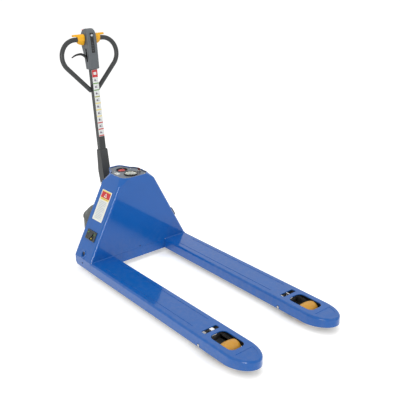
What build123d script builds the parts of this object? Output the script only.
from build123d import *
import math
import os

os.makedirs("parts", exist_ok=True)

# Electric pallet truck: powered drive, hydraulic hand-pump lift. Millimetres, +Z up.
# The model is drawn with X = 0 at the hood's front face, +X towards the fork tips and
# the operator at -X. At the end everything is shifted along X to the middle of its box.

# ---- forks -------------------------------------------------------------------------
overall_width = 635.0
fork_width = 150.0
fork_length = 1162.0
fork_top = 80.0
fork_underside = 27.0
fork_wall = 5.0
fork_edge_radius = 10.0
tip_curve = 120.0
tip_side_height = 40.0
tip_ring_width = 5.0
groove_spacing = 88.0
groove_width = 7.0
groove_depth = 1.5
groove_start = 100.0
groove_before_slot = 56.0
slot_before_wheel = (134.0, 108.0)
window_before_wheel = 85.0
window_after_wheel = 57.0
wheel_window_width = 85.0
wheel_window_radius = 26.0

# ---- hood, base and instrument panel -------------------------------------------------
hood_depth = 157.0
hood_wall = 5.0
hood_slope = 0.53
hood_shoulder = 459.0
hood_rim = 494.0
rim_half_width = 86.0
rim_corner_radius = 44.0
crease_radius = 14.0
head_box_reach = 69.0
head_box_half_widths = (36.0, 92.0)
head_box_radius = 31.0
head_box_bottom = 395.0
web_z = (458.0, 466.0)
base_corner_radius = 22.0
panel_thickness = 3.0
panel_drop = 3.5
e_stop_from_back = 7.0
e_stop_cup_radius = 33.0
e_stop_button_radius = 19.5
gauge_from_front = 63.0
gauge_radius = 38.0
key_offset = 62.0
key_switch_radius = 11.0
connector_size = (85.0, 52.0)
connector_proud = 6.0
connector_up_side = 134.0
socket_size = (56.0, 46.0)
socket_proud = 14.0
cap_thickness = 9.0
label_size = (90.0, 168.0)
label_thickness = 0.6
label_up_side = 301.0
battery_height = 150.0

# ---- lift ----------------------------------------------------------------------------
lift_height = 105.0
shaft_from_back = 68.0
shaft_z = 100.0
shaft_radius = 12.5
rod_arm = 36.0
rear_arm_angle = 22.8
rear_arm_thickness = 12.0
rear_pin_radius = 7.0
rod_height = 14.0
rod_thickness = 10.0
rod_pin_radius = 5.0
arm_drop_angle = 61.0
arm_pivot_z = 35.0
arm_pin_radius = 6.0
arm_plate = 6.0
load_wheel_from_tip = 172.0
load_wheel_radius = 39.6
load_wheel_width = 80.0
load_axle_radius = 8.0
ram_behind_hood = 35.0
ram_radius = 15.0
barrel_radius = 24.0
barrel_top = 392.0
running_clearance = 0.05
loose_clearance = 0.5

# ---- drive unit ------------------------------------------------------------------------
drum_gap = 23.0
drive_wheel_radius = 100.0
drive_wheel_width = 75.0
tyre_thickness = 18.0
drum_radius = 140.0
drum_wall = 3.0
drum_bottom = 62.0
drum_lip = 180.0
dome_top = 223.0
post_radius = 25.0
beam_bottom = 231.0
beam_height = 21.0
housing_radius = 45.0
bearing_radius = 40.0
motor_radius = 50.0
pump_radius = 44.0
pump_bottom = 256.0
pump_top = 284.0
piston_radius = 10.0
piston_behind_axis = 11.0
piston_barrel_top = 312.0

# ---- tiller ----------------------------------------------------------------------------
tiller_behind_axis = 13.0
tiller_foot_z = 480.0
tiller_lean = 5.44
tube_width = 40.0
tube_depth = 30.0
tube_wall = 3.0
bracket_width = 49.0
bracket_plate = 4.2
pivot_before_axis = 16.0
pivot_z = 356.0
pivot_pin_radius = 8.0
roller_radius = 11.0
roller_arm = (-24.0, 18.0)
roller_width = 36.0
roller_journal = 6.0
head_bottom = 531.0
head_top = 746.0
head_width = 58.0
loop_tube_radius = 12.5
loop_bar = 692.0
loop_x = -14.0
loop_corner = 284.0
loop_bend = 85.0
loop_leg_foot = 415.0
throttle_hub_radius = 21.0
throttle_width = 39.0
thumb_tab_length = 28.0
lever_slot = (572.0, 642.0)
strip = (618.0, 722.0)
strip_width = 20.0
horn_radius = 6.0

# ---- worked out from the sizes above -----------------------------------------------------
half_width = overall_width / 2
fork_y = half_width - fork_width / 2
fork_inner_y = half_width - fork_width
load_wheel_x = fork_length - load_wheel_from_tip
slot_x = (load_wheel_x - slot_before_wheel[0], load_wheel_x - slot_before_wheel[1])
window_x = (load_wheel_x - window_before_wheel, load_wheel_x + window_after_wheel)
groove_end = slot_x[0] - groove_before_slot
head_box_depth = hood_depth + head_box_reach
e_stop_centre = (e_stop_from_back - hood_depth, 2.0)
gauge_centre = (-gauge_from_front, 2.0)
key_centre = (-gauge_from_front - 9, key_offset)
panel_top = hood_rim - panel_drop
side_tilt = math.degrees(math.atan(hood_slope))
connector_x = -hood_depth / 2 + 1
shaft_x = shaft_from_back - hood_depth
steer_x = -hood_depth - drum_radius - drum_gap
ram_x = -hood_depth - ram_behind_hood
piston_x = steer_x - piston_behind_axis
pivot_x = steer_x + pivot_before_axis
tiller_foot = (steer_x - tiller_behind_axis, tiller_foot_z)
roller_x = pivot_x + roller_arm[0]
roller_z = pivot_z + roller_arm[1]
motor_start = drive_wheel_width / 2 + 14
motor_length = math.sqrt((drum_radius - drum_wall - 2) ** 2 - motor_radius**2) - motor_start

# The rear arms follow the carriage, the lower arms push the rods, and the rods turn the
# load-wheel arms. Each swings evenly about its middle, so its two ends match exactly.
half_lift = lift_height / 2
rear_arm_reach = half_lift / math.tan(math.radians(rear_arm_angle))
rear_arm_offset = drum_radius + 10
rod_travel = 2 * rod_arm * math.sin(math.radians(rear_arm_angle))
arm_rise = load_wheel_radius - arm_pivot_z
arm_length = (lift_height - arm_rise) / math.sin(math.radians(arm_drop_angle))
arm_pivot_x = load_wheel_x - math.sqrt(arm_length**2 - arm_rise**2)
arm_swing = arm_drop_angle + math.degrees(math.asin(arm_rise / arm_length))
half_swing = math.radians(arm_swing / 2)
lug_arm = rod_travel / 2 / math.sin(half_swing)
rod_rear = (
    shaft_x - rod_travel / 2,
    shaft_z - rod_arm * math.cos(math.radians(rear_arm_angle)),
)
rod_front = (arm_pivot_x - rod_travel / 2, arm_pivot_z + lug_arm * math.cos(half_swing))
pin_rise = rod_arm * (1 - math.cos(math.radians(rear_arm_angle)))
pin_rise += lug_arm * (1 - math.cos(half_swing))

pieces = {}


def block(x, y, z):
    """A box given by its low and high values along each axis."""
    size = (x[1] - x[0], y[1] - y[0], z[1] - z[0])
    return Pos((x[0] + x[1]) / 2, (y[0] + y[1]) / 2, (z[0] + z[1]) / 2) * Box(*size)


def rod_y(x, z, radius, y):
    """A cylinder along Y between two Y values."""
    return Pos(x, (y[0] + y[1]) / 2, z) * Rot(90, 0, 0) * Cylinder(radius, abs(y[1] - y[0]))


def rod_z(x, y, radius, z):
    """A cylinder along Z between two Z values."""
    return Pos(x, y, (z[0] + z[1]) / 2) * Cylinder(radius, z[1] - z[0])


def plate_y(circles, y):
    """A plate across Y whose outline wraps round circles given as (x, z, radius)."""
    edges = [e for x, z, r in circles for e in (Pos(x, z) * Circle(r)).edges()]
    outline = make_hull(edges)
    flat = Plane.XZ.offset(-y[0]) * outline
    return extrude(flat, y[0] - y[1])


def both_sides(shape):
    """A shape and its mirror image across the middle, as one group."""
    return Compound(children=[shape, mirror(shape, Plane.XZ)])


def in_tiller(shape):
    """Moves a shape drawn upright at the tiller's foot to where the tiller leans."""
    return Pos(tiller_foot[0], 0, tiller_foot[1]) * Rot(0, -tiller_lean, 0) * shape


def tiller_point(x, z):
    """The tiller's own (forward, up) coordinates of a point in the truck."""
    lean = math.radians(tiller_lean)
    dx = x - tiller_foot[0]
    dz = z - tiller_foot[1]
    return (dx * math.cos(lean) + dz * math.sin(lean), dz * math.cos(lean) - dx * math.sin(lean))


# ---- forks -------------------------------------------------------------------------------
def fork_outline(inset):
    length = fork_length - tip_curve
    half = fork_width / 2 - inset
    body = Pos(length / 2, 0) * Rectangle(length, 2 * half)
    tip = Pos(length, 0) * Ellipse(tip_curve - inset, half)
    return body + tip


def make_fork():
    outer = Pos(0, 0, fork_underside) * extrude(fork_outline(0), fork_top - fork_underside)
    top_edges = outer.faces().sort_by(Axis.Z)[-1].edges()
    rounded = [e for e in top_edges if e.bounding_box().max.X > 1]
    outer = fillet(rounded, fork_edge_radius)
    depth = fork_top - fork_underside - fork_wall
    inner = Pos(-1, 0, fork_underside) * extrude(fork_outline(fork_wall), depth)
    inner += block((-1, 10), (-fork_width / 2 + fork_wall, fork_width / 2 - fork_wall),
                   (fork_underside, fork_top - fork_wall))
    fork = outer - inner
    window = RectangleRounded(window_x[1] - window_x[0], wheel_window_width,
                              wheel_window_radius)
    fork -= Pos(sum(window_x) / 2, 0, fork_top - 3 * fork_wall) * extrude(window, 4 * fork_wall)
    slot = RectangleRounded(slot_x[1] - slot_x[0], wheel_window_width, 6)
    fork -= Pos(sum(slot_x) / 2, 0, fork_top - 3 * fork_wall) * extrude(slot, 4 * fork_wall)
    groove = SlotOverall(groove_end - groove_start, groove_width)
    for side in (-1, 1):
        place = Pos((groove_start + groove_end) / 2, side * groove_spacing / 2,
                    fork_top - groove_depth)
        fork -= place * extrude(groove, groove_depth + 1)
    nose_x = fork_length - tip_curve + 32
    ring = Pos(nose_x, 0) * Ellipse(tip_curve - 57, fork_width / 2 - 27)
    ring -= Pos(nose_x, 0) * Ellipse(tip_curve - 57 - tip_ring_width,
                                     fork_width / 2 - 27 - tip_ring_width)
    ring -= Pos(nose_x - 100, 0) * Rectangle(200, fork_width)
    fork -= Pos(0, 0, fork_top - groove_depth) * extrude(ring, groove_depth + 1)
    rise = fork_top - tip_side_height - fork_underside
    wedge = Polyline((fork_length - tip_curve, fork_underside - 1),
                     (fork_length + 5, fork_underside + rise),
                     (fork_length + 5, fork_underside - 1), close=True)
    wedge = Plane.XZ * make_face(wedge)
    fork -= extrude(wedge, fork_width, both=True)
    fork -= rod_y(arm_pivot_x, arm_pivot_z, arm_pin_radius, (-fork_width, fork_width))
    return fork


def add_forks():
    fork = make_fork()
    pieces["fork_right"] = Pos(0, -fork_y, 0) * fork
    pieces["fork_left"] = Pos(0, fork_y, 0) * fork
    pin = rod_y(arm_pivot_x, arm_pivot_z, arm_pin_radius, (fork_inner_y, half_width))
    pieces["arm_pivot_pins"] = both_sides(pin)


# ---- hood ----------------------------------------------------------------------------------
def side_y(z, inset=0.0):
    """The hood side's half width at a height, measured to its outside or an inset skin."""
    return half_width - hood_slope * (z - fork_top) - inset * math.hypot(1, hood_slope)


def hood_form(inset):
    """The hood's outer form, or with an inset the hollow inside it, open at the back."""
    reach = 1.0 if inset else 0.0
    back = -hood_depth - 30 * reach
    low = fork_top - 30 * reach
    depth = hood_depth + 60
    corner = crease_radius - inset
    sections = [Pos(-inset - depth / 2, 0, z) * RectangleRounded(depth, 2 * side_y(z, inset), corner)
                for z in (low, hood_shoulder)]
    prism = loft(sections) & block((back, 0), (-half_width - 50, half_width + 50), (0, 500))
    low_depth = hood_depth - inset
    low_sketch = Pos(-inset - low_depth / 2, 0, hood_shoulder) * RectangleRounded(
        low_depth, 2 * side_y(hood_shoulder, inset), crease_radius - inset)
    top_sketch = Pos(-inset - low_depth / 2, 0, hood_rim) * RectangleRounded(
        low_depth, 2 * (rim_half_width - inset), rim_corner_radius - inset)
    collar = loft([low_sketch, top_sketch])
    narrow, wide = head_box_half_widths
    taper = (wide - narrow) / (head_box_depth - hood_depth / 2)
    skin = inset * math.hypot(1, taper)
    rear = head_box_depth - inset
    rear_y = narrow + taper * inset - skin
    plan = Polyline((-hood_depth / 2, wide - skin), (-rear, rear_y), (-rear, -rear_y),
                    (-hood_depth / 2, skin - wide), close=True)
    bottom = head_box_bottom - 30 * reach
    head_box = extrude(Pos(0, 0, bottom) * make_face(plan), hood_rim - bottom)
    back_edges = head_box.edges().filter_by(Axis.Z).sort_by(Axis.X)[:2]
    head_box = fillet(back_edges, head_box_radius - inset)
    if inset:
        rim = (collar + head_box).faces().filter_by(Axis.Z).sort_by(Axis.Z)[-1]
        collar += extrude(rim, 30)
    return prism + collar + head_box


def add_hood():
    outer = hood_form(0)
    hollow = hood_form(hood_wall)
    hood = outer - hollow
    web = block((-head_box_depth - 1, -hood_depth), (-rim_half_width, rim_half_width), web_z)
    hood += web & hood_form(0)
    outside = side_y(shaft_z)
    boss = rod_y(shaft_x, shaft_z, shaft_radius + 11, (outside - 20, outside + 6))
    boss = boss & hood_form(0)
    hood += both_sides(boss)
    hood -= rod_y(shaft_x, shaft_z, shaft_radius + running_clearance, (-400, 400))
    hood -= side_block(*connector_size, -20, 20)
    hood -= mirror(side_block(*socket_size, -20, 20), Plane.XZ)
    pieces["hood"] = hood
    pieces["rear_cover"] = make_rear_cover()
    slab = block((-400, 100), (-300, 300), (panel_top - panel_thickness, panel_top))
    panel = hollow & slab
    panel -= rod_z(*e_stop_centre, e_stop_cup_radius, (400, 600))
    panel -= rod_z(*gauge_centre, gauge_radius - 6, (400, 600))
    panel -= rod_z(*key_centre, key_switch_radius - 3, (400, 600))
    pieces["faceplate"] = panel


def on_side(up_side, shape, x):
    """Places a shape, drawn facing -Y, square on the right side panel."""
    z = fork_top + up_side * math.cos(math.radians(side_tilt))
    return Pos(x, -side_y(z), z) * Rot(-side_tilt, 0, 0) * shape


def side_block(length, height, low, high):
    """A block through the right side panel, from low to high along its outward normal."""
    shape = block((-length / 2, length / 2), (-high, -low), (-height / 2, height / 2))
    return on_side(connector_up_side, shape, connector_x)


def make_rear_cover():
    low = shaft_z + 62
    points = ((-side_y(low, hood_wall), low), (side_y(low, hood_wall), low),
              (side_y(head_box_bottom, hood_wall), head_box_bottom),
              (-side_y(head_box_bottom, hood_wall), head_box_bottom))
    face = Plane.YZ.offset(-hood_depth) * make_face(Polyline(*points, close=True))
    return extrude(face, hood_wall)


def add_base():
    section = Polyline((-hood_depth, fork_underside), (0, fork_underside), (0, fork_top),
                       (-hood_depth, fork_top), close=True)
    full = Pos(0, half_width, 0) * extrude(Plane.XZ * make_face(section), overall_width)
    corner = [e for e in full.edges().filter_by(Axis.Y)
              if e.center().X < -hood_depth + 1 and e.center().Z < fork_underside + 1]
    full = fillet(corner, base_corner_radius)
    outer = full & block((-hood_depth, 0), (half_width - fork_wall, half_width), (0, 200))
    inner = full & block((-hood_depth, 0), (fork_inner_y, fork_inner_y + fork_wall), (0, 200))
    lug = plate_y([(shaft_x, shaft_z, shaft_radius + 9), (shaft_x - 20, fork_top - 12, 12),
                   (shaft_x + 20, fork_top - 12, 12)], (fork_inner_y, fork_inner_y + fork_wall))
    inner += lug
    inner -= rod_y(shaft_x, shaft_z, shaft_radius + running_clearance, (0, 400))
    half = outer + inner
    front = block((-fork_wall, 0), (-fork_inner_y - 1, fork_inner_y + 1),
                  (fork_underside, fork_top))
    rear = full & block((-hood_depth, -hood_depth + 12), (-half_width, half_width),
                        (fork_underside, fork_underside + 22))
    pieces["base_frame"] = half + mirror(half, Plane.XZ) + front + rear


def add_guides():
    web = block((-hood_depth - 4, -hood_depth), (66, 104), (170, 388))
    inner = block((-hood_depth - 31, -hood_depth - 4), (66, 70), (170, 388))
    outer = block((-hood_depth - 31, -hood_depth - 4), (100, 104), (170, 388))
    pieces["guide_channels"] = both_sides(web + inner + outer)


def add_electrics():
    tray_z = shaft_z + 48
    tray = block((-hood_depth + hood_wall + 1, -hood_wall), (-270, 270), (tray_z, tray_z + 4))
    tray += block((-hood_depth + hood_wall + 1, -hood_depth + hood_wall + 4), (-200, 200),
                  (tray_z, tray_z + 30))
    pieces["battery_tray"] = tray & hood_form(hood_wall)
    low = tray_z + 4
    high = low + battery_height
    reach = side_y(high, hood_wall) - 7
    case = block((15 - hood_depth, -12), (-reach, -3), (low, high))
    posts = rod_z(-30, 20 - reach, 8, (high, high + 8)) + rod_z(-30, -30, 8, (high, high + 8))
    battery = fillet(case.edges().filter_by(Axis.Z), 6) + posts
    pieces["battery_right"] = battery
    pieces["battery_left"] = mirror(battery, Plane.XZ)
    control = block((-hood_wall - 44, -hood_wall), (-80, 80), (318, 430))
    for y in range(-70, 71, 20):
        control += block((-hood_wall - 60, -hood_wall - 44), (y - 2, y + 2), (322, 426))
    pieces["controller"] = control
    body = side_block(*connector_size, -18, connector_proud)
    length, height = connector_size
    for rib in range(-3, 4):
        groove = side_block(3, height - 8, connector_proud - 4, connector_proud + 1)
        body -= Pos(rib * length / 8, 0, 0) * groove
    pieces["battery_connector"] = body
    socket = side_block(*socket_size, -18, socket_proud)
    pieces["charger_socket"] = mirror(socket, Plane.XZ)
    length, height = socket_size
    cap = side_block(length + 6, height + 6, socket_proud + 0.3, socket_proud + cap_thickness)
    cap = fillet(cap.edges(), 2.5)
    pieces["charger_cover"] = mirror(cap, Plane.XZ)
    cup = rod_z(*e_stop_centre, e_stop_cup_radius, (panel_top - 17, panel_top + 1))
    cup -= rod_z(*e_stop_centre, e_stop_cup_radius - 3, (panel_top - 14, panel_top + 5))
    cup -= rod_z(*e_stop_centre, 8 + running_clearance, (400, 520))
    pieces["e_stop_base"] = cup
    button = rod_z(*e_stop_centre, e_stop_button_radius, (panel_top - 8, panel_top - 1))
    button = fillet(button.edges().sort_by(Axis.Z)[-1], 3)
    button += rod_z(*e_stop_centre, 8, (panel_top - 17.9, panel_top - 8))
    pieces["e_stop_button"] = button
    bezel = rod_z(*gauge_centre, gauge_radius, (panel_top, panel_top + 5))
    bezel = fillet(bezel.edges().sort_by(Axis.Z)[-1], 2)
    bezel -= rod_z(*gauge_centre, gauge_radius - 7, (panel_top, panel_top + 9))
    pieces["gauge_bezel"] = bezel
    dial = rod_z(*gauge_centre, gauge_radius - 7.05, (panel_top, panel_top + 2.5))
    dial += rod_z(*gauge_centre, gauge_radius - 6.05, (panel_top - 9, panel_top))
    pieces["gauge_dial"] = dial
    switch = rod_z(*key_centre, key_switch_radius, (panel_top, panel_top + 5))
    switch += rod_z(*key_centre, key_switch_radius - 3.05, (panel_top - 12, panel_top))
    switch -= rod_z(*key_centre, 5 + running_clearance, (panel_top - 2, panel_top + 9))
    pieces["key_switch"] = switch
    key = rod_z(*key_centre, 5, (panel_top - 2, panel_top + 6))
    key += Pos(key_centre[0], key_centre[1], panel_top + 12) * Box(22, 3, 12)
    pieces["key"] = key
    label = block((-label_size[0] / 2, label_size[0] / 2), (-label_thickness, 0),
                  (-label_size[1] / 2, label_size[1] / 2))
    pieces["safety_label"] = on_side(label_up_side, label, connector_x - 3)


# ---- lift linkage -----------------------------------------------------------------------------
def add_lift_linkage():
    crank = rod_y(shaft_x, shaft_z, shaft_radius, (-side_y(shaft_z) + 6, side_y(shaft_z) - 6))
    cheek = rod_thickness / 2 + loose_clearance
    for side in (-1, 1):
        for gap in (-1, 1):
            near = side * fork_y + gap * cheek
            far = side * fork_y + gap * (cheek + arm_plate)
            crank += plate_y([(shaft_x, shaft_z, 19), (*rod_rear, 10)],
                             (min(near, far), max(near, far)))
        crank += rod_y(*rod_rear, rod_pin_radius,
                       (side * fork_y - cheek - arm_plate, side * fork_y + cheek + arm_plate))
        crank += rear_arm(side * rear_arm_offset)
    pieces["torsion_shaft"] = crank
    rods = make_push_rod()
    pieces["push_rods"] = both_sides(rods)


def rear_arm(y):
    span = (y - rear_arm_thickness / 2, y + rear_arm_thickness / 2)
    turn = math.radians(180 - rear_arm_angle)
    near_end = rear_arm_reach - 1
    far_end = math.hypot(rear_arm_reach, half_lift) + 1

    def along(radius):
        return (shaft_x + radius * math.cos(turn), shaft_z + radius * math.sin(turn))

    arm = plate_y([(shaft_x, shaft_z, 19), (*along(near_end), 15), (*along(far_end), 15)], span)
    slot = plate_y([(*along(near_end), rear_pin_radius + 1.4),
                    (*along(far_end), rear_pin_radius + 1.4)], (span[0] - 1, span[1] + 1))
    return arm - slot


def make_push_rod():
    y = (fork_y - rod_thickness / 2, fork_y + rod_thickness / 2)
    half = rod_height / 2
    bar = plate_y([(*rod_rear, half), (rod_front[0] - 14, rod_front[1] + 3.4, half)], y)
    bar += rod_y(*rod_rear, rod_pin_radius + 5, y)
    pin = load_pin_radius()
    low = rod_front[1] - pin - 0.4
    high = rod_front[1] + pin + pin_rise + 0.6
    bar += block((rod_front[0] - 16, rod_front[0] + 9), y, (low - 3.4, high + 3.4))
    bar -= rod_y(*rod_rear, rod_pin_radius + running_clearance, (y[0] - 1, y[1] + 1))
    bar -= block((rod_front[0] - pin - 0.6, rod_front[0] + pin + 0.6), (y[0] - 1, y[1] + 1),
                 (low, high))
    return bar


def load_pin_radius():
    return rod_pin_radius - 0.5


def add_load_wheels():
    inner = load_wheel_width / 2 + 2
    arms = None
    for gap in (-1, 1):
        near = fork_y + gap * inner
        far = fork_y + gap * (inner + arm_plate)
        plate = plate_y([(arm_pivot_x, arm_pivot_z, 13), (*rod_front, 9),
                         (load_wheel_x, load_wheel_radius, 14)], (min(near, far), max(near, far)))
        arms = plate if arms is None else arms + plate
    span = (fork_y - inner - arm_plate, fork_y + inner + arm_plate)
    tyre_edge = load_wheel_x - load_wheel_radius - 2
    arms += plate_y([(arm_pivot_x - 4, arm_pivot_z - 9, 3), (tyre_edge - 6, arm_pivot_z - 9, 3)],
                    span)
    arms += rod_y(arm_pivot_x, arm_pivot_z, arm_pin_radius + 3.5, span)
    arms += rod_y(*rod_front, load_pin_radius(), span)
    arms -= rod_y(arm_pivot_x, arm_pivot_z, arm_pin_radius + running_clearance, (0, 400))
    arms -= rod_y(load_wheel_x, load_wheel_radius, load_axle_radius, (0, 400))
    pieces["load_arms"] = both_sides(arms)
    axle = rod_y(load_wheel_x, load_wheel_radius, load_axle_radius, (span[0] - 3, span[1] + 3))
    pieces["load_axles"] = both_sides(axle)
    half = load_wheel_width / 2
    profile = make_face(Polyline((core_radius(), -half), (load_wheel_radius - 4, -half),
                                 (load_wheel_radius, -half + 14), (load_wheel_radius, half - 14),
                                 (load_wheel_radius - 4, half), (core_radius(), half), close=True))
    tyre = revolve(profile, Axis.Y)
    hub = Rot(90, 0, 0) * Cylinder(core_radius(), load_wheel_width)
    hub -= Rot(90, 0, 0) * Cylinder(load_axle_radius + running_clearance, load_wheel_width + 2)
    for side, name in ((-1, "right"), (1, "left")):
        place = Pos(load_wheel_x, side * fork_y, load_wheel_radius)
        pieces["load_tyre_" + name] = place * tyre
        pieces["load_hub_" + name] = place * hub


def core_radius():
    return load_wheel_radius - 16


# ---- lifting carriage ------------------------------------------------------------------------
def add_carriage():
    pin_z = shaft_z + half_lift
    leg = block((-hood_depth - 30, -hood_depth - 6.5), (72, 98), (pin_z - 34, 300))
    side = rear_arm_offset - rear_arm_thickness / 2
    lug = block((-hood_depth - 66, -hood_depth - 8), (90, side - 1), (pin_z - 14, pin_z + 14))
    lug -= rod_z(steer_x, 0, drum_radius + 9, (0, 400))
    half = leg + lug
    half += rod_y(shaft_x - rear_arm_reach, pin_z, rear_pin_radius,
                  (side - 2, side + rear_arm_thickness + 4))
    carriage = half + mirror(half, Plane.XZ)
    beam_top = beam_bottom + beam_height
    carriage += block((-hood_depth - 43, -hood_depth - 32), (-98, 98), (beam_top - 38, beam_top))
    tie = block((-hood_depth - 33, -hood_depth - 20), (72, 98), (beam_top - 38, beam_top))
    carriage += tie + mirror(tie, Plane.XZ)
    carriage += block((steer_x, -hood_depth - 11), (-38, 38), (beam_bottom, beam_top))
    carriage += rod_z(steer_x, 0, housing_radius, (beam_bottom - 2, beam_top + 1))
    carriage -= rod_z(steer_x, 0, bearing_radius, (beam_bottom, beam_top + 5))
    carriage -= rod_z(steer_x, 0, post_radius + 3, (0, 400))
    pieces["carriage"] = carriage
    pads = []
    for z in (205, 268):
        for y in ((70.5, 72), (98, 99.5)):
            pads.append(block((-hood_depth - 28, -hood_depth - 8), y, (z, z + 28)))
    pieces["slide_pads"] = Compound(children=pads + [mirror(p, Plane.XZ) for p in pads])
    bearing = rod_z(steer_x, 0, bearing_radius, (beam_bottom, beam_top + 1))
    bearing -= rod_z(steer_x, 0, post_radius + running_clearance, (0, 400))
    pieces["steer_bearing"] = bearing
    barrel = rod_z(ram_x, 0, barrel_radius, (beam_top, barrel_top))
    barrel += rod_z(ram_x, 0, barrel_radius + 3, (barrel_top - 16, barrel_top))
    barrel -= rod_z(ram_x, 0, ram_radius + running_clearance, (beam_top + 6, barrel_top + 5))
    pieces["lift_barrel"] = barrel
    ram = rod_z(ram_x, 0, ram_radius, (beam_top + 8, web_z[0]))
    pieces["lift_ram"] = ram


# ---- drive unit ------------------------------------------------------------------------------
def add_drive_unit():
    axle_z = drive_wheel_radius
    half = drive_wheel_width / 2
    disc_top = 214.0
    fork = rod_z(steer_x, 0, 62, (disc_top - 9, disc_top))
    fork += rod_z(steer_x, 0, post_radius, (disc_top, pump_bottom))
    for side in (-1, 1):
        near = side * (half + 6)
        far = side * (half + 14)
        fork += plate_y([(steer_x, axle_z, 34), (steer_x - 26, disc_top - 12, 10),
                         (steer_x + 26, disc_top - 12, 10)], (min(near, far), max(near, far)))
    fork -= rod_y(steer_x, axle_z, 12, (-200, 200))
    pieces["steer_fork"] = fork
    axle = rod_y(steer_x, axle_z, 12, (-half - 20, half + 14))
    pieces["drive_axle"] = axle
    motor = rod_y(steer_x, axle_z, motor_radius, (motor_start, motor_start + motor_length))
    motor = chamfer(motor.edges().filter_by(GeomType.CIRCLE).sort_by(Axis.Y)[-1], 8)
    for turn in range(0, 360, 20):
        fin = Pos(steer_x, motor_start + motor_length / 2, axle_z) * Rot(0, turn, 0)
        motor -= fin * Pos(motor_radius, 0, 0) * Box(5, motor_length - 26, 4)
    pieces["motor"] = motor
    hub = rod_y(steer_x, axle_z, drive_wheel_radius - tyre_thickness, (-half, half))
    hub -= rod_y(steer_x, axle_z, drive_wheel_radius - tyre_thickness - 12, (-half - 1, -half + 14))
    hub -= rod_y(steer_x, axle_z, drive_wheel_radius - tyre_thickness - 12, (half - 14, half + 1))
    hub += rod_y(steer_x, axle_z, 26, (-half - 3, half + 3))
    hub -= rod_y(steer_x, axle_z, 12 + running_clearance, (-200, 200))
    pieces["drive_hub"] = hub
    tyre = rod_y(steer_x, axle_z, drive_wheel_radius, (-half, half))
    tyre = fillet(tyre.edges().filter_by(GeomType.CIRCLE), 5)
    tyre -= rod_y(steer_x, axle_z, drive_wheel_radius - tyre_thickness, (-half - 1, half + 1))
    pieces["drive_tyre"] = tyre
    drum = rod_z(steer_x, 0, drum_radius, (drum_bottom, drum_lip))
    drum += rod_z(steer_x, 0, drum_radius + 3, (drum_lip - 6, drum_lip))
    drum -= rod_z(steer_x, 0, drum_radius - drum_wall, (drum_bottom - 1, drum_lip + 1))
    pieces["drum_cover"] = drum
    pieces["drum_lid"] = make_lid(disc_top)


def make_lid(disc_top):
    rim = drum_radius + 1
    with BuildSketch(Plane.XZ) as section:
        with BuildLine():
            Line((0, dome_top), (rim - 65, dome_top - 1))
            ThreePointArc((rim - 65, dome_top - 1), (rim - 23, dome_top - 17), (rim, drum_lip + 3))
            Line((rim, drum_lip + 3), (rim, drum_lip))
            Line((rim, drum_lip), (0, drum_lip))
            Line((0, drum_lip), (0, dome_top))
        make_face()
    outside = revolve(section.sketch, Axis.Z)
    with BuildSketch(Plane.XZ) as hollow:
        with BuildLine():
            low = drum_lip - 1
            Line((0, disc_top), (rim - 67, disc_top))
            ThreePointArc((rim - 67, disc_top), (rim - 28, dome_top - 22), (rim - drum_wall - 2, low))
            Line((rim - drum_wall - 2, low), (0, low))
            Line((0, low), (0, disc_top))
        make_face()
    lid = outside - revolve(hollow.sketch, Axis.Z)
    lid -= Cylinder(post_radius, 1000)
    return Pos(steer_x, 0, 0) * lid


def add_pump():
    body = rod_z(steer_x, 0, pump_radius, (pump_bottom, pump_top))
    body = fillet(body.edges().filter_by(GeomType.CIRCLE).sort_by(Axis.Z)[-1], 6)
    barrel = rod_z(piston_x, 0, piston_radius + 8, (pump_bottom + 2, piston_barrel_top))
    body += barrel
    body += Pos(steer_x - 30, -30, pump_bottom + 18) * Rot(0, 0, 45) * Box(20, 20, 20)
    body -= rod_z(piston_x, 0, piston_radius + running_clearance, (pump_bottom + 4, 400))
    pieces["pump_body"] = body
    lug_half = tube_width / 2 - 1
    yoke = plate_y([(pivot_x, pivot_z, 14), (pivot_x - 1, pump_top + 2, 13),
                    (pivot_x + 12, pump_top + 2, 13)], (-lug_half, lug_half))
    yoke -= block((-500, 0), (-100, 100), (0, pump_top))
    yoke -= rod_z(piston_x, 0, piston_radius + 9, (0, 400))
    yoke -= rod_y(pivot_x, pivot_z, pivot_pin_radius + running_clearance, (-100, 100))
    pieces["yoke"] = yoke
    top = roller_z - roller_radius - 0.7
    piston = rod_z(piston_x, 0, piston_radius, (pump_bottom + 39, top))
    piston = chamfer(piston.edges().sort_by(Axis.Z)[-1], 1.5)
    pieces["pump_piston"] = piston


# ---- tiller -----------------------------------------------------------------------------------
def add_tiller():
    half_w = tube_width / 2
    half_d = tube_depth / 2
    low = tiller_point(roller_x, roller_z)[1] + roller_radius + 14
    tube = extrude(Pos(0, 0, low) * RectangleRounded(tube_depth, tube_width, 5),
                   head_bottom + 30 - low)
    tube -= extrude(Pos(0, 0, low - 1) * RectangleRounded(
        tube_depth - 2 * tube_wall, tube_width - 2 * tube_wall, 2), head_bottom + 40 - low)
    pieces["tiller_tube"] = in_tiller(tube)
    add_bracket(low)
    strip_plate = block((half_d, half_d + 0.8), (-half_w + 1, half_w - 1), (162, 528))
    pieces["pictogram_strip"] = in_tiller(strip_plate)
    roller = rod_y(roller_x, roller_z, roller_radius, (-roller_width / 2, roller_width / 2))
    roller += rod_y(roller_x, roller_z, roller_journal, (-bracket_width / 2 - 2, bracket_width / 2 + 2))
    pieces["pump_roller"] = roller
    pin = rod_y(pivot_x, pivot_z, pivot_pin_radius, (-bracket_width / 2 - 5, bracket_width / 2 + 5))
    pieces["tiller_pin"] = pin
    loop = make_loop(loop_tube_radius)
    cut = block((-100, 100), (-half_w, half_w), (300, 520))
    pieces["loop_handle"] = in_tiller(loop - cut)


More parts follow.
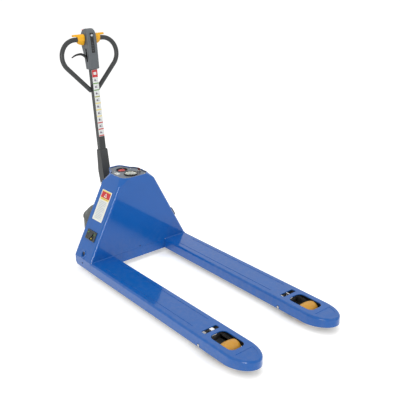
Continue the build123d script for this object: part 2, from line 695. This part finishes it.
def make_loop(radius):
    path = FilletPolyline((18, loop_leg_foot), (loop_corner, loop_bar), (-loop_corner, loop_bar),
                          (-18, loop_leg_foot), radius=loop_bend)
    path = Plane.YZ.offset(loop_x) * path
    start = Plane(origin=path @ 0, z_dir=path % 0)
    return sweep(start * Circle(radius), path=path)


def add_bracket(low):
    outer_y = bracket_width / 2
    ear = tiller_point(pivot_x, pivot_z)
    roller = tiller_point(roller_x, roller_z)
    cheek = make_hull([e for x, z, r in ((-12, 84, 5), (15, 84, 5), (-21, -40, 6), (22, -40, 6),
                                         (roller[0], roller[1], 13), (ear[0], ear[1], 15))
                       for e in (Pos(x, z) * Circle(r)).edges()])
    solid = extrude(Plane.XZ.offset(-outer_y) * cheek, bracket_width)
    inside = block((-60, 60), (-outer_y + bracket_plate, outer_y - bracket_plate), (-200, 84))
    web = block((tube_depth / 2, 60), (-outer_y, outer_y), (low - 8, 100))
    bracket = solid - (inside - web)
    bracket -= block((-tube_depth / 2, tube_depth / 2),
                                    (-tube_width / 2, tube_width / 2), (low, 200))
    bracket = in_tiller(bracket)
    bracket -= rod_y(pivot_x, pivot_z, pivot_pin_radius + running_clearance, (-100, 100))
    bracket -= rod_y(roller_x, roller_z, roller_journal + running_clearance, (-100, 100))
    pieces["tiller_bracket"] = bracket


def add_head():
    half = head_width / 2
    side = Polyline((-23, head_bottom), (25, head_bottom), (29, 660), (27, head_top - 26),
                    (14, head_top), (-30, head_top), (-46, head_top - 30), (-46, 655),
                    (-30, 600), close=True)
    head = extrude(Plane.XZ.offset(-half) * make_face(side), head_width)
    head = fillet(head.edges().filter_by(Axis.Y), 7)
    head = fillet(head.faces().filter_by(Axis.Y).edges(), 5)
    head -= rod_y(loop_x, loop_bar, loop_tube_radius + 4, (-100, 100))
    head -= block((-tube_depth / 2, tube_depth / 2), (-tube_width / 2, tube_width / 2),
                  (head_bottom - 1, head_bottom + 30))
    head -= block((24.5, 60), (-strip_width / 2, strip_width / 2), strip)
    head -= block((-6, 6), (-half - 1, -half + 20), lever_slot)
    head -= block((-8, 8), (-8, 8), (head_bottom + 29, 612))
    horn_z = strip[1] - 13
    hole = Pos(120, 0, horn_z) * Rot(0, 90, 0) * Cylinder(horn_radius + 0.3, 200)
    head -= hole
    pocket = block((-40.5, -9.5), (-22.5, 22.5), (head_top - 10, head_top + 10))
    head -= pocket
    pieces["control_head"] = in_tiller(head)
    insert = block((24.5, 28), (-strip_width / 2, strip_width / 2), strip)
    pieces["face_strip"] = in_tiller(insert - hole)
    horn = Pos(28.2, 0, horn_z) * Rot(0, 90, 0) * Cylinder(horn_radius, 5)
    pieces["horn_button"] = in_tiller(horn)
    add_throttle(half)
    add_lever(half)
    rear = block((-40, -10), (-22, 22), (head_top - 5.5, head_top + 6))
    button = fillet(rear.edges().filter_by(Axis.Z), 8)
    pieces["belly_button"] = in_tiller(button)


def add_throttle(half):
    start = half + loose_clearance
    bore = loop_tube_radius + 0.08
    sleeve = rod_y(loop_x, loop_bar, bore + 3, (-start, start))
    sleeve -= rod_y(loop_x, loop_bar, bore, (-100, 100))
    pieces["throttle_sleeve"] = in_tiller(sleeve)
    blade = plate_y([(loop_x, loop_bar, throttle_hub_radius), (loop_x + 6, loop_bar + 16, 13),
                     (loop_x - 3, loop_bar - 19, 13)], (start, start + throttle_width))
    blade = fillet(blade.faces().filter_by(Axis.Y).sort_by(Axis.Y)[-1].edges(), 4)
    tab = block((loop_x + 1, loop_x + 13), (start + 4, start + throttle_width + thumb_tab_length),
                (loop_bar + 21, loop_bar + 28))
    tab = fillet(tab.edges().filter_by(Axis.X), 3)
    blade += tab
    blade -= rod_y(loop_x, loop_bar, bore, (-100, 200))
    pieces["throttle_left"] = in_tiller(blade)
    pieces["throttle_right"] = in_tiller(mirror(blade, Plane.XZ))


def add_lever(half):
    foot = (12 - half, 588)
    path = FilletPolyline(foot, (-45, 603), (-64, 618), (-102, 619), (-120, 608), radius=14)
    path = Plane.YZ * path
    start = Plane(origin=path @ 0, z_dir=path % 0)
    lever = sweep(start * Circle(5), path=path)
    lever += Pos(path @ 1) * Sphere(6)
    lever += Pos(0, *foot) * Rot(0, 90, 0) * Cylinder(7, 9)
    pieces["finger_lever"] = in_tiller(lever)
    pieces["release_rod"] = in_tiller(rod_z(0, 0, 3, (-60, 584)))


add_forks()
add_hood()
add_base()
add_guides()
add_electrics()
add_lift_linkage()
add_load_wheels()
add_carriage()
add_drive_unit()
add_pump()
add_tiller()
add_head()

whole = Compound(children=[Compound(children=list(p.solids())) for p in pieces.values()])
box = whole.bounding_box()
shift = -(box.min.X + box.max.X) / 2
for name, piece in pieces.items():
    export_step(Pos(shift, 0, 0) * Compound(children=list(piece.solids())), f"parts/{name}.step")
print("shift", round(shift, 3), "low", box.min, "high", box.max)
